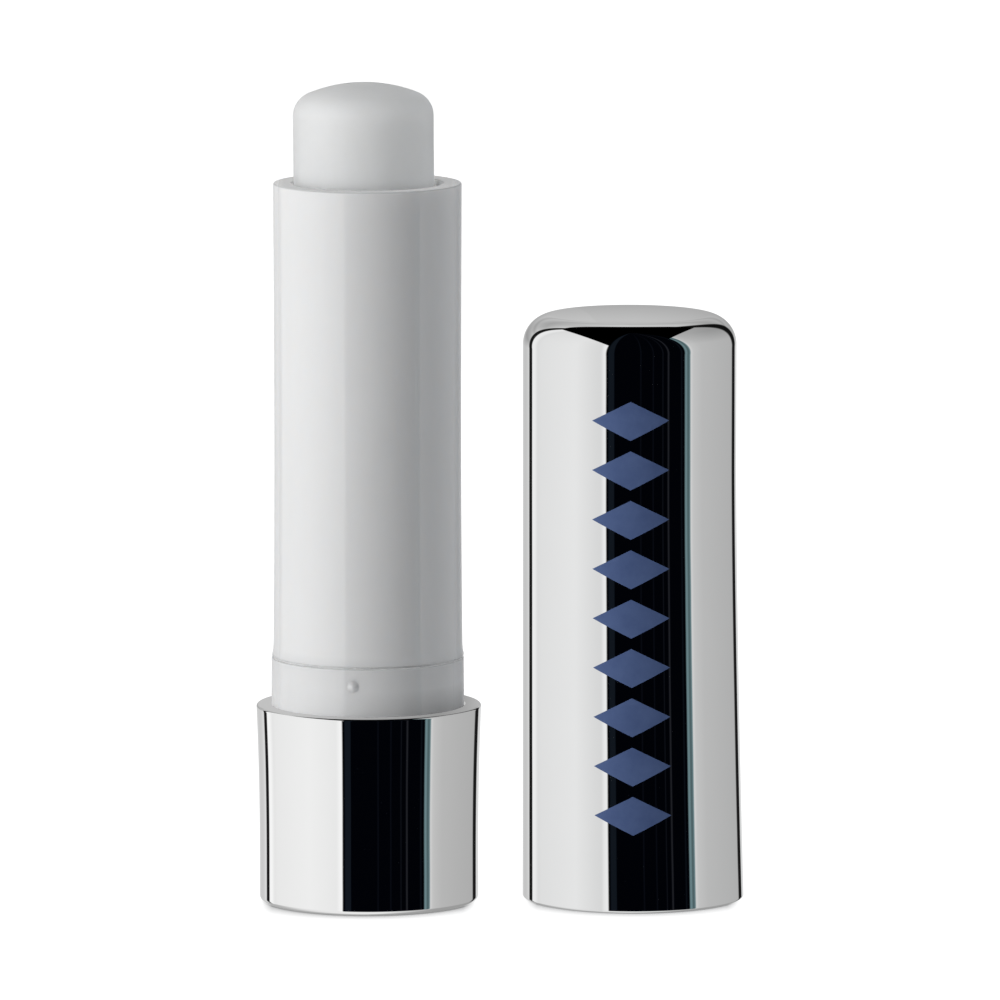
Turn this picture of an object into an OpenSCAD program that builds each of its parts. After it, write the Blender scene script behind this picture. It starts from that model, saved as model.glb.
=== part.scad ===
// Twist-up lip balm stick, standing open with its cap beside it.
// The origin is the centre of the base's foot. Z points up and the stick's axis is the Z axis.
// Turning the base against the barrel turns the screw, which lifts the carrier and the balm.
// Widths follow inwards from the base's rim: each piece takes its step, wall or clearance from the one outside it.

/* [Base shell] */
// Diameter of the base at its rim, where the cap lands
base_rim_d = 19.57; // [17:0.01:26]
// How far the base's side flares out from its foot to its rim
base_flare = 0.275; // [0.05:0.005:0.6]
// Power of the flare: 1 is a straight cone, and a higher one keeps the flare near the rim
base_flare_power = 2.3; // [1:0.1:4]
// Height of the base
base_h = 17.2; // [14:0.1:24]
// Height of the straight stretch below the flare
base_straight_h = 3.2; // [1:0.1:8]
// Thickness of the base's floor
base_floor = 1.4; // [0.8:0.1:2.5]
// Edge radius of the foot
base_foot_r = 0.3; // [0.1:0.05:0.6]
// Edge radius of the rim's outer edge
base_rim_r = 0.28; // [0.1:0.02:0.5]

/* [Collar and twist core] */
// Step from the base's rim in to the collar, which the cap's mouth fills
collar_inset = 1.41; // [1.1:0.01:2]
// How far the collar draws in up to the seam
collar_taper = 0.025; // [0:0.005:0.1]
// Height of the collar above the base's rim
collar_h = 4.15; // [3:0.05:8]
// Wall of the core round the barrel's neck
core_wall = 0.875; // [0.75:0.005:1.2]
// Thickness of the core's web, which carries the screw
core_web = 1.2; // [0.8:0.1:2]
// Thickness of the core under the screw's foot
socket_floor = 1.2; // [0.6:0.1:2]
// Number of crush ribs that grip the base shell
crush_ribs = 12; // [6:1:24]
// Number of bumps that hold the cap
bump_count = 3; // [2:1:6]
// Diameter of a bump
bump_d = 1.15; // [0.8:0.05:1.6]
// Height that a bump stands out of the collar
bump_rise = 0.22; // [0.1:0.02:0.35]
// Height of the bumps above the base's rim
bump_h = 2.65; // [1.5:0.05:4]
// Angle of the first bump from the front, towards the left
bump_angle = 8.3; // [0:0.1:45]

/* [Barrel] */
// Height of the barrel from the seam to its rim
barrel_h = 41.27; // [30:0.01:60]
// Step from the collar in to the barrel's foot
seam_step = 0.015; // [0:0.005:0.1]
// How far the barrel's foot flares out at the seam
barrel_flare = 0.125; // [0.02:0.005:0.2]
// Height of the foot flare
barrel_flare_h = 1; // [0.5:0.1:3]
// Height of the barrel's waist above the seam
barrel_waist_h = 19; // [8:0.5:26]
// How far the side draws in from the foot flare to the waist
barrel_waist_in = 0.1; // [0:0.005:0.2]
// How far the side widens again from the waist to the rim
barrel_rim_out = 0.06; // [0:0.005:0.15]
// Outside radius of the rim
barrel_rim_r = 0.16; // [0.1:0.02:0.6]
// Wall of the neck that turns in the core
neck_wall = 0.85; // [0.7:0.01:1.3]
// Height that the snap bead stands out of the neck
neck_bead_rise = 0.25; // [0.1:0.05:0.35]
// Width of the two guide grooves
guide_w = 2; // [1.2:0.1:3]
// Depth of the guide grooves
guide_depth = 0.45; // [0.3:0.05:0.55]

/* [Drive screw] */
// Crest diameter of the screw
screw_crest_d = 4.2; // [3.8:0.1:4.8]
// Depth of the thread
thread_depth = 0.6; // [0.5:0.05:0.7]
// Rise of the carrier for one turn
screw_lead = 5; // [4:0.25:8]
// Width of the screw's hexagonal foot, across flats
screw_foot_w = 5; // [4:0.1:6]
// Length of the screw's foot
screw_foot_l = 4.4; // [3:0.1:4.6]
// Diameter of the flange that rests on the web
screw_flange_d = 7.4; // [6.5:0.1:9]
// Thickness of the flange
screw_flange_t = 1; // [0.6:0.1:1.5]

/* [Carrier] */
// Height of the carrier cup
carrier_h = 7; // [6:0.25:10]
// Wall of the carrier cup
carrier_wall = 0.7; // [0.5:0.05:1]
// Floor of the carrier cup
carrier_floor = 1.2; // [0.8:0.1:2]
// Wall of the hub that holds the drive lugs
hub_wall = 1.05; // [0.8:0.05:1.4]
// Height of the hub
hub_h = 4.2; // [3.5:0.1:5.5]
// Gap between the screw's flange and the carrier when it is wound right down
carrier_rest_gap = 2; // [0.5:0.1:4]
// Depth of the carrier's rim below the barrel's rim when it is wound right up
carrier_stop_depth = 2.77; // [1:0.01:12]
// How far the stick is wound up as it stands
wound_up = 10; // [0:0.5:30]

/* [Balm] */
// Gap between the balm and the barrel
balm_gap = 0.45; // [0.42:0.01:0.8]
// Depth of the balm's crown below the barrel's rim when it is wound right down
balm_sunk = 1.17; // [0.5:0.01:3]
// Radius of the balm's rounded shoulder
balm_shoulder_r = 2.1; // [0.5:0.1:4]
// Rise of the balm's dome above its shoulder
balm_dome = 1.68; // [0.3:0.02:3]
// How far the balm leans to the left, at its crown
balm_lean = 0.38; // [0:0.01:0.4]

/* [Cap] */
// Step from the base's rim in to the cap's mouth
cap_step = 0.145; // [0:0.005:0.3]
// How far the cap draws in above its mouth
cap_taper = 0.36; // [0.1:0.01:0.5]
// Power of the taper: 1 is a straight cone, and a higher one keeps the taper near the mouth
cap_taper_power = 1.5; // [1:0.1:3]
// Height of the straight stretch, from where the cap stops narrowing to its crown
cap_straight_h = 13.3; // [8:0.1:24]
// Room inside the closed cap, over the barrel's rim
cap_room = 4.43; // [1:0.01:8]
// Thickness of the cap's crown at its edge
cap_crown_wall = 0.98; // [0.7:0.02:1.4]
// Radius of the cap's rounded shoulder
cap_shoulder_r = 2.62; // [1:0.02:5]
// Rise of the cap's crown over its whole width
cap_dome = 0.32; // [0.1:0.02:2]
// Space between the base and the cap that stands to its right
cap_spacing = 3.575; // [1:0.005:40]
// Distance of the cap's axis behind the stick's
cap_y = 1.5; // [-10:0.1:10]

/* [Fits] */
// Gap of the turning seam between barrel and collar
seam_gap = 0.15; // [0.1:0.05:0.4]
// Radial clearance of the barrel's neck in the core
neck_clear = 0.1; // [0.05:0.01:0.2]
// Radial clearance of the carrier in the barrel
slide_clear = 0.12; // [0.08:0.01:0.25]
// Clearance of the carrier's guide lugs in the guide grooves
guide_clear = 0.15; // [0.1:0.01:0.25]
// Radial clearance of the hub and the drive lugs round the screw
screw_clear = 0.15; // [0.1:0.01:0.25]
// Clearance of a drive lug between the screw's two threads
lug_clear = 0.16; // [0.1:0.01:0.2]
// Clearance of pressed parts, which a crush rib or hexagon closes
press_clear = 0.03; // [0.01:0.01:0.1]
// Clearance of the cap round the collar
cap_clear = 0.1; // [0.05:0.01:0.2]
// Clearance of the closed cap round the barrel's rim
cap_rim_clear = 0.115; // [0.05:0.005:0.3]

/* [Hidden] */
$fn = 96;
chrome = [0.86, 0.86, 0.87];
plastic = [0.93, 0.93, 0.93];
inner_plastic = [0.88, 0.9, 0.92];
wax = [0.9, 0.9, 0.89];
dome_fn = 720;
thread_fn = 16;

// Heights of what stands on the base
core_web_z = base_floor + socket_floor + screw_foot_l;
flange_z = core_web_z + screw_flange_t;
seam_z = base_h + collar_h;
barrel_z = seam_z + seam_gap;
rim_z = barrel_z + barrel_h;
neck_foot_gap = 0.6;
neck_z = flange_z + neck_foot_gap;

// Travel of the carrier and the balm
carrier_low_z = flange_z + carrier_rest_gap;
travel = rim_z - carrier_stop_depth - carrier_h - carrier_low_z;
carrier_z = carrier_low_z + wound_up;
crown_z = rim_z - balm_sunk + wound_up;

// Widths, from the base's rim inwards
base_foot_d = base_rim_d - 2 * base_flare;
collar_foot_d = base_rim_d - 2 * collar_inset;
collar_top_d = collar_foot_d - 2 * collar_taper;
core_d = collar_foot_d;
core_bore_d = core_d - 2 * core_wall;
base_bore_d = core_d + 2 * press_clear;
neck_d = core_bore_d - 2 * neck_clear;
barrel_bore_d = neck_d - 2 * neck_wall;
barrel_flare_d = collar_top_d - 2 * seam_step;
barrel_foot_d = barrel_flare_d - 2 * barrel_flare;
barrel_waist_d = barrel_foot_d - 2 * barrel_waist_in;
barrel_rim_d = barrel_waist_d + 2 * barrel_rim_out;
carrier_d = barrel_bore_d - 2 * slide_clear;
cup_d = carrier_d - 2 * carrier_wall;
balm_d = barrel_bore_d - 2 * balm_gap;

// Core: the skirt fills the shell above its relief, and ribs grip the shell below
core_relief = 0.2;
core_relief_drop = 2.4;
core_relief_z = base_h - core_relief_drop;
crush_w = 0.8;
socket_wall = 1.8;
socket_d = screw_foot_w / cos(30) + 2 * socket_wall;

// Neck: its lower edge is chamfered and the bead snaps into the core's groove
neck_chamfer = 0.3;
bead_h = 0.9;
bead_rise_z = 3;
bead_z = neck_z + bead_rise_z;
groove_play = 0.15;

// Barrel: the guide grooves end where the carrier's guide lugs stop
side_power = 1.7;
flare_power = 1.6;
guide_lug_h = 3;
guide_lug_z = 0.6;
guide_stop_gap = 0.4;
guide_stop_z = carrier_low_z + travel + guide_lug_z + guide_lug_h + guide_stop_gap;
mouth_chamfer = 0.15;

// Numbers of straight pieces that make up a curved side
base_steps = 14;
barrel_steps = 6;
flare_steps = 4;
cap_steps = 10;

// Screw: the thread reaches a little past the lugs at both ends of the travel
screw_root_d = screw_crest_d - 2 * thread_depth;
lug_drop = 1.2;
lug_z = hub_h - lug_drop;
thread_past = 1.6;
thread_z = carrier_low_z + lug_z - thread_past;
screw_top_z = carrier_low_z + travel + lug_z + thread_past;
screw_tip = 0.8;
screw_joint = 1;
screw_shank_d = screw_root_d - 0.2;
thread_l = screw_top_z - thread_z - screw_tip;
screw_starts = 2;
slice_angle = 20;
// Angles, within half a turn, where a thread's crest ends and its root begins
crest_angle = 20;
root_angle = 46;
root_middle = 68;

// Carrier: the lugs fill the root between the two threads, and face front and back
lug_d = screw_lead * (180 - 2 * root_angle) / 360 - 2 * lug_clear;
lug_angle = 90;
hub_bore_d = screw_crest_d + 2 * screw_clear;
hub_d = hub_bore_d + 2 * hub_wall;
wiper_h = 1;
wiper_relief = 0.2;
grip_ribs = 4;
grip_rib_angle = 45;
grip_rib_w = 0.8;
grip_rib_depth = 0.5;

// Balm: cast in the cup, with a hole that clears the screw at the lowest setting
cast_gap = 0.08;
screw_hole_clear = 0.3;
screw_hole_past = 0.6;
balm_hole_d = screw_crest_d + 2 * screw_hole_clear;
balm_hole_top = screw_top_z + wound_up + screw_hole_past;
balm_foot_z = carrier_z + carrier_floor;
balm_seat_z = carrier_z + carrier_h;
balm_lean_angle = atan(balm_lean / (crown_z - balm_seat_z));

// Cap: the outside steps in from the base's rim and the inside clears the collar and the barrel
cap_mouth_d = base_rim_d - 2 * cap_step;
cap_top_d = cap_mouth_d - 2 * cap_taper;
cap_bore_d = collar_foot_d + 2 * cap_clear;
cap_inner_top_d = barrel_rim_d + 2 * cap_rim_clear;
cap_wall = (cap_top_d - cap_inner_top_d) / 2;
cap_inner_h = collar_h + seam_gap + barrel_h + cap_room;
cap_h = cap_inner_h + cap_crown_wall + cap_dome;
cap_taper_h = cap_h - cap_straight_h;
cap_x = (base_rim_d + cap_mouth_d) / 2 + cap_spacing;
cap_socket_past = 0.6;
cap_socket_h = collar_h + cap_socket_past;
cap_least_r = 0.2;
cap_inner_r = max(cap_shoulder_r - cap_wall, cap_least_r);
cap_lead_in = 0.25;
cap_edge_r = 0.2;
snap_groove_h = 1.5;
snap_groove_past = 0.02;
snap_groove_depth = bump_rise + snap_groove_past;

// Outline, to be turned, of a rounded shoulder and a spherical crown, on a side that ends at shoulder_z.
// side_r is the radius under the shoulder, top_z the crown's height, rise the crown's rise over the whole width.
function crown_r(side_r, rise) = (side_r * side_r + rise * rise) / (2 * rise);
function shoulder_z(side_r, top_z, rise, edge_r) =
    top_z - crown_r(side_r, rise)
    + sqrt(pow(crown_r(side_r, rise) - edge_r, 2) - pow(side_r - edge_r, 2));

module domed_top(side_r, top_z, rise, edge_r) {
    ball_r = crown_r(side_r, rise);
    ball_z = top_z - ball_r;
    edge_z = shoulder_z(side_r, top_z, rise, edge_r);
    // the crown reaches out to where it touches the shoulder's arc
    touch_r = ball_r * cos(atan2(edge_z - ball_z, side_r - edge_r));
    translate([side_r - edge_r, edge_z])
        circle(r = edge_r);
    intersection() {
        translate([0, ball_z])
            circle(r = ball_r, $fn = dome_fn);
        translate([0, edge_z])
            square([touch_r, top_z - edge_z]);
    }
}

// A ring of copies round the axis
module ring_of(count, start = 0) {
    for (i = [0 : count - 1])
        rotate([0, 0, start + i * 360 / count])
            children();
}

// Points of a curved side that leaves radius r upright at z0 and is grown wider at z1.
// The first point is left out where first is 1, because the stretch before it ends there.
function side(r, grown, power, z0, z1, steps, first = 0) =
    [for (i = [first : steps])
        let (t = i / steps)
        [r + grown * pow(t, power), z0 + (z1 - z0) * t]];

function backwards(points) = [for (i = [len(points) - 1 : -1 : 0]) points[i]];

module base_outline() {
    polygon(concat(
        [[0, 0], [base_foot_d / 2, 0]],
        side(base_foot_d / 2, base_flare, base_flare_power, base_straight_h, base_h, base_steps),
        [[0, base_h]]
    ));
}

// Takes the corner off a turned outline: r and z are the corner, up is 1 at an upper edge and -1 at a lower one
module edge_cut(r, z, edge_r, up) {
    difference() {
        translate([r - edge_r, up > 0 ? z - edge_r : z - 1])
            square([edge_r + 1, edge_r + 1]);
        translate([r - edge_r, z - up * edge_r])
            circle(r = edge_r);
    }
}

module base_shell() {
    color(chrome)
        rotate_extrude()
            difference() {
                base_outline();
                translate([0, base_floor])
                    square([base_bore_d / 2, base_h]);
                edge_cut(base_foot_d / 2, 0, base_foot_r, -1);
                edge_cut(base_rim_d / 2, base_h, base_rim_r, 1);
            }
}

module core_outside() {
    skirt_r = core_d / 2 - core_relief;
    polygon([
        [0, base_floor], [skirt_r, base_floor], [skirt_r, core_relief_z],
        [core_d / 2, core_relief_z + core_relief], [core_d / 2, base_h],
        [collar_top_d / 2, seam_z], [0, seam_z]
    ]);
}

module core_inside() {
    bore_r = core_bore_d / 2;
    // bearing for the neck, with the groove for its snap bead
    translate([0, core_web_z])
        square([bore_r, seam_z]);
    translate([0, bead_z - groove_play])
        square([bore_r + neck_bead_rise, bead_h + 2 * groove_play]);
    // hollow under the web, round the socket
    translate([socket_d / 2, base_floor - 1])
        square([bore_r - socket_d / 2, core_web_z - core_web - base_floor + 1]);
}

module twist_core() {
    color(plastic)
        difference() {
            union() {
                rotate_extrude()
                    core_outside();
                ring_of(crush_ribs)
                    crush_rib();
                ring_of(bump_count, -90 - bump_angle)
                    bump();
            }
            rotate_extrude()
                core_inside();
            translate([0, 0, core_web_z - screw_foot_l - press_clear])
                hexagon(screw_foot_w + 2 * press_clear, screw_foot_l + 1);
            translate([0, 0, base_floor - 1])
                cylinder(d = screw_root_d, h = core_web_z);
        }
}

module crush_rib() {
    skirt_r = core_d / 2 - core_relief;
    intersection() {
        translate([skirt_r - core_relief, -crush_w / 2, base_floor + core_relief])
            cube([core_relief * 3, crush_w, core_relief_z - base_floor]);
        cylinder(d = core_d, h = base_h);
    }
}

// A ball let into the collar, whose low dome stands bump_rise out of it
module bump() {
    ball_r = (pow(bump_d / 2, 2) + pow(bump_rise, 2)) / (2 * bump_rise);
    collar_r = collar_top_d / 2 + (collar_foot_d - collar_top_d) / 2 * (1 - bump_h / collar_h);
    translate([collar_r + bump_rise - ball_r, 0, base_h + bump_h])
        sphere(r = ball_r);
}

module hexagon(across, height) {
    cylinder(d = across / cos(30), h = height, $fn = 6);
}

// Half of the screw's section: crest, flank, root, flank
function thread_half(turn) = let (crest = screw_crest_d / 2, root = screw_root_d / 2)
    [for (p = [[-crest_angle, crest], [0, crest], [crest_angle, crest], [root_angle, root],
               [root_middle, root], [90, root], [180 - root_middle, root], [180 - root_angle, root]])
        [p[1] * cos(p[0] + turn), p[1] * sin(p[0] + turn)]];

module drive_screw() {
    turns = thread_l / screw_lead;
    // a lug sits half way between two crests, at the front and back of the carrier
    start_turn = 360 * (carrier_z + lug_z - thread_z) / screw_lead;
    color(inner_plastic) {
        translate([0, 0, core_web_z - screw_foot_l])
            hexagon(screw_foot_w, screw_foot_l);
        translate([0, 0, core_web_z])
            cylinder(d = screw_flange_d, h = screw_flange_t);
        translate([0, 0, core_web_z])
            cylinder(d = screw_shank_d, h = thread_z + screw_joint - core_web_z);
        translate([0, 0, thread_z])
            rotate([0, 0, start_turn])
                linear_extrude(height = thread_l, twist = 360 * turns,
                    slices = ceil(360 * turns / slice_angle), $fn = thread_fn)
                    polygon(concat(thread_half(0), thread_half(180)));
        translate([0, 0, thread_z + thread_l - screw_joint])
            cylinder(d = screw_shank_d, h = screw_joint + screw_tip / 2);
        translate([0, 0, screw_top_z - screw_tip / 2])
            cylinder(d1 = screw_shank_d, d2 = screw_shank_d - screw_tip, h = screw_tip / 2);
    }
}

// Side of the neck up to the seam, with its snap bead, which is ramped on its lower side
function neck_points(neck_r, bead_r) = [
    [neck_r - neck_chamfer, neck_z], [neck_r, neck_z + neck_chamfer],
    [neck_r, bead_z], [bead_r, bead_z + bead_h / 2], [bead_r, bead_z + bead_h], [neck_r, bead_z + bead_h],
    [neck_r, barrel_z]
];

module barrel_outline() {
    waist_z = barrel_z + barrel_waist_h;
    foot_z = barrel_z + barrel_flare_h;
    polygon(concat(
        [[0, neck_z]],
        neck_points(neck_d / 2, neck_d / 2 + neck_bead_rise),
        backwards(side(barrel_foot_d / 2, barrel_flare, flare_power, foot_z, barrel_z, flare_steps, 1)),
        backwards(side(barrel_waist_d / 2, barrel_waist_in, side_power, waist_z, foot_z, barrel_steps)),
        side(barrel_waist_d / 2, barrel_rim_out, side_power, waist_z, rim_z, barrel_steps, 1),
        [[0, rim_z]]
    ));
}

module barrel() {
    bore_r = barrel_bore_d / 2;
    color(plastic)
        difference() {
            rotate_extrude()
                difference() {
                    barrel_outline();
                    translate([0, neck_z - 1])
                        square([bore_r, rim_z - neck_z + 2]);
                    translate([0, rim_z - mouth_chamfer])
                        polygon([[0, 0], [bore_r, 0], [bore_r + 2 * mouth_chamfer, 2 * mouth_chamfer], [0, 1]]);
                    edge_cut(barrel_rim_d / 2, rim_z, barrel_rim_r, 1);
                }
            ring_of(2)
                translate([0, -guide_w / 2, neck_z - 1])
                    cube([bore_r + guide_depth, guide_w, guide_stop_z - neck_z + 1]);
        }
}

module carrier_outline() {
    difference() {
        translate([0, carrier_z])
            square([carrier_d / 2, carrier_h]);
        translate([0, balm_foot_z])
            square([cup_d / 2, carrier_h]);
        // relief between the wiper at the top and the one at the foot
        translate([carrier_d / 2 - wiper_relief, carrier_z + wiper_h])
            square([wiper_relief + 1, carrier_h - 2 * wiper_h]);
    }
    translate([0, carrier_z])
        square([hub_d / 2, hub_h]);
}

module carrier() {
    guide_r = barrel_bore_d / 2 + guide_depth - guide_clear;
    color(inner_plastic) {
        difference() {
            union() {
                rotate_extrude()
                    carrier_outline();
                ring_of(2)
                    translate([cup_d / 2, -guide_w / 2 + guide_clear, carrier_z + guide_lug_z])
                        cube([guide_r - cup_d / 2, guide_w - 2 * guide_clear, guide_lug_h]);
                ring_of(grip_ribs, grip_rib_angle)
                    translate([cup_d / 2 - grip_rib_depth, -grip_rib_w / 2, carrier_z + carrier_floor / 2])
                        cube([grip_rib_depth + carrier_wall / 2, grip_rib_w, carrier_h - carrier_floor]);
            }
            translate([0, 0, carrier_z - 1])
                cylinder(d = hub_bore_d, h = carrier_h);
        }
        // drive lugs, which reach into the screw's two grooves
        ring_of(screw_starts, lug_angle)
            translate([screw_root_d / 2 + screw_clear, 0, carrier_z + lug_z])
                rotate([0, 90, 0])
                    cylinder(d = lug_d, h = hub_d / 2 - screw_root_d / 2 - 2 * screw_clear);
    }
}

module balm_outline() {
    low_z = balm_seat_z + 2 * cast_gap;
    side_r = balm_d / 2;
    translate([0, low_z])
        square([side_r, shoulder_z(side_r, crown_z, balm_dome, balm_shoulder_r) - low_z]);
    domed_top(side_r, crown_z, balm_dome, balm_shoulder_r);
}

module balm() {
    color(wax)
        difference() {
            union() {
                translate([0, 0, balm_foot_z])
                    cylinder(d = cup_d - 2 * cast_gap, h = balm_seat_z - balm_foot_z + 1);
                translate([0, 0, balm_seat_z])
                    rotate([0, -balm_lean_angle, 0])
                        translate([0, 0, -balm_seat_z])
                            rotate_extrude()
                                balm_outline();
            }
            translate([0, 0, balm_foot_z - 1])
                cylinder(d = hub_d + 2 * cast_gap, h = carrier_z + hub_h - balm_foot_z + cast_gap + 1);
            translate([0, 0, balm_foot_z - 1])
                cylinder(d = balm_hole_d, h = balm_hole_top - balm_foot_z + 1);
            ring_of(grip_ribs, grip_rib_angle)
                translate([cup_d / 2 - grip_rib_depth - cast_gap, -grip_rib_w / 2 - cast_gap, balm_foot_z - 1])
                    cube([carrier_wall, grip_rib_w + 2 * cast_gap, carrier_h - carrier_floor / 2 + cast_gap]);
        }
}

module cap_outline() {
    outer_r = cap_top_d / 2;
    edge_z = shoulder_z(outer_r, cap_h, cap_dome, cap_shoulder_r);
    domed_top(outer_r, cap_h, cap_dome, cap_shoulder_r);
    polygon(concat(
        [[0, 0]],
        backwards(side(outer_r, cap_taper, cap_taper_power, cap_taper_h, 0, cap_steps)),
        [[outer_r, edge_z], [0, edge_z]]
    ));
}

module cap_inside() {
    socket_r = cap_bore_d / 2;
    top_r = cap_inner_top_d / 2;
    polygon([
        [0, -1], [socket_r + cap_lead_in, -1], [socket_r + cap_lead_in, 0], [socket_r, cap_lead_in],
        [socket_r, cap_socket_h], [top_r, cap_taper_h], [top_r, cap_inner_h - cap_inner_r],
        [0, cap_inner_h - cap_inner_r]
    ]);
    translate([0, cap_inner_h - cap_inner_r - 1])
        square([top_r - cap_inner_r, cap_inner_r + 1]);
    intersection() {
        translate([top_r - cap_inner_r, cap_inner_h - cap_inner_r])
            circle(r = cap_inner_r);
        translate([0, cap_inner_h - cap_inner_r - 1])
            square([top_r, cap_inner_r + 1]);
    }
    // groove that takes the collar's bumps, ramped on both sides
    translate([socket_r, bump_h])
        polygon([
            [-1, -snap_groove_h / 2], [0, -snap_groove_h / 2], [snap_groove_depth, -snap_groove_h / 4],
            [snap_groove_depth, snap_groove_h / 4], [0, snap_groove_h / 2], [-1, snap_groove_h / 2]
        ]);
}

module cap() {
    color(chrome)
        translate([cap_x, cap_y, 0])
            rotate_extrude()
                difference() {
                    cap_outline();
                    cap_inside();
                    edge_cut(cap_mouth_d / 2, 0, cap_edge_r, -1);
                }
}

base_shell();
twist_core();
drive_screw();
barrel();
carrier();
balm();
cap();
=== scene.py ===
"""Looks of the twist-up lip balm stick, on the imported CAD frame.

The stick stands open beside its cap. Both shells are mirror-bright, the barrel and collar are glossy white
plastic, and the balm is waxy. Sizes are in millimetres and angles in degrees, unless a name says otherwise.
"""
import math

import bmesh
import bpy
from mathutils import Matrix, Vector, noise


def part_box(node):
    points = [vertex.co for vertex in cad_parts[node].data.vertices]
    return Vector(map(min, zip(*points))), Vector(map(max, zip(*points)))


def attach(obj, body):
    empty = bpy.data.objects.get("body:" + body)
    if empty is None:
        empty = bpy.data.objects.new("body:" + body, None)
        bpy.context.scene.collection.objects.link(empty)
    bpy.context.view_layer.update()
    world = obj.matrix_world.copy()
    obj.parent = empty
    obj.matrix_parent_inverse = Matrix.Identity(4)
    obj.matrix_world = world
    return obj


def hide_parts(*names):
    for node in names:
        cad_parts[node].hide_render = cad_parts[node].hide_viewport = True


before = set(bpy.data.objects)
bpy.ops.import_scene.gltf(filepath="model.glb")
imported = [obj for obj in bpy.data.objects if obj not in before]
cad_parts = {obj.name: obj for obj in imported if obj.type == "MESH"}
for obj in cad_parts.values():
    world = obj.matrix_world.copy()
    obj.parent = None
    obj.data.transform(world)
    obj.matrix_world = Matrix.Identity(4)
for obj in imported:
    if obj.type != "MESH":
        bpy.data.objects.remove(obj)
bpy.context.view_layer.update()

MM = 0.001
SEGMENTS = 288
SHARP_ANGLE = 35


def node_box(name):
    """Lowest and highest corner of a CAD node, in millimetres."""
    low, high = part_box(name)
    return Vector(low) / MM, Vector(high) / MM


# Sizes that come from the frame
base_high = node_box("base_shell")[1]
barrel_high = node_box("barrel")[1]
cap_low, cap_high = node_box("cap")
base_h = base_high.z
seam_z = node_box("twist_core")[1].z
rim_z = barrel_high.z
cap_h = cap_high.z
cap_mouth_r = (cap_high.x - cap_low.x) / 2
cap_axis = Vector(((cap_low.x + cap_high.x) / 2, (cap_low.y + cap_high.y) / 2, 0))
stick_axis = Vector((0, 0, 0))
barrel_axis = Vector((0.025, 0, 0))

# Base shell, as the photograph shows it: a little to the right of the stick's axis, and a trace wider than
# in the CAD
base_axis = Vector((0.09, 0, 0))
base_rim_r = base_high.x + 0.009
base_foot_r = 9.51
base_straight_h = 3.2
base_flare_power = 2.3
base_edge_r = 0.4
base_lip_r = 0.2
base_bore_r = 8.405
base_floor = 1.4
# its flat at the left: how far its normals turn, the flat's middle round from the front, and half its width
base_normal_turn = -1.6
base_flat_turn = 288
base_flat_half = 26

# Collar, and the twist core under it
collar_foot_r = 8.375
collar_top_r = 8.35
collar_edge_r = 0.1
core_relief = 0.2
core_relief_drop = 2.4
core_foot_gap = 0.01
core_bore_r = 7.5
core_web_z = 7
core_web = 1.2
socket_outer_r = 4.687
socket_r = 2.93
socket_z = 2.57
groove_play = 0.15
bump_r = 0.62
bump_foot_r = 0.775
bump_rise = 0.22
bump_sag = 0.15
bump_sink = 0.015
bump_z = 19.85
bump_count = 3
bump_turn = 8.3

# Barrel
barrel_z = seam_z + 0.15
barrel_rim_r = 8.17
barrel_waist_r = 8.11
barrel_waist_z = 40.5
barrel_foot_r = 8.21
barrel_flare_r = barrel_high.x
barrel_flare_h = 1.0
barrel_flare_power = 1.6
barrel_side_power = 1.7
barrel_lip_r = 0.1
seam_floor_r = 8.19
seam_floor_gap = 0.02
barrel_bore_r = 6.55
barrel_edge_r = 0.16
barrel_inner_edge_r = 0.15
barrel_neck_r = 7.4
barrel_neck_z = 8.6
bead_rise = 0.25
bead_z = 11.6
bead_h = 0.9
guide_w = 2
guide_depth = 0.45
guide_stop_z = 57
guide_step = 0.002

# Balm, with a crown a little lower than in the CAD, as the photograph shows it
crown_z = node_box("balm")[1].z - 0.14
balm_r = 6.1
balm_seat_z = 27
balm_step_z = 27.16
balm_foot_z = 21.2
balm_plug_r = 5.65
balm_side_drop = 4
balm_shoulder_r = 2.1
balm_dome = 1.54
balm_lean = 0.49
balm_hole_r = 2.4
balm_hole_top = 68.2
balm_hole_top_r = 2.8
# its unevenness: height and fineness of the broad and the small waves, how fast they follow each other round
# the stick and up it, and the radius from which they start
balm_waves = (0.018, 1)
balm_ripples = (0.007, 3.1)
balm_wave_round = 2.2
balm_wave_up = 0.16
balm_wave_start_r = 3

# Cap
cap_top_r = 9.28
cap_taper_h = 38
cap_taper_power = 1.5
cap_drift_x = -0.241
cap_shoulder_r = 2.62
cap_dome = 0.32
cap_edge_r = 0.2
cap_bore_r = 8.475
cap_lead_in = 0.25
cap_socket_h = 4.75
cap_inner_top_r = 8.285
cap_inner_h = 50
cap_inner_shoulder_r = 1.625
snap_z = 2.65
snap_h = 1.5
snap_depth = 0.24
# how far its normals turn, elsewhere and at the right, and the middle and half the width of that right part
cap_normal_turn = -0.7
cap_normal_turn_right = -0.2
cap_right_turn = 32
cap_right_half = 22

# Print on the cap's front
print_count = 9
print_low_z = 8.5
print_high_z = 42.9
print_half_w = 3.4
print_half_h = 1.7
print_lift = 0.012

# Camera, in metres and radians; the focal length is in thousandths of the picture's width
CAMERA_PLACE = (0.0115025, -1.1612915, 0.1891689)
CAMERA_PITCH = 0.1319517
CAMERA_FOCAL = 13491.56
CAMERA_CLIP = (0.05, 10)
SENSOR_MM = 36

# Soft light all round, and from above
AMBIENT = (0.125, 0.128, 0.134)
AMBIENT_TOP = (0.16, 0.163, 0.17)

# Lamps, in metres: how far off and how wide they are, and the point that they face
LAMP_DISTANCE = 0.6
LAMP_SIZE = 0.36
LAMP_TARGET = Vector((0.0115, 0, 0.036))

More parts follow.
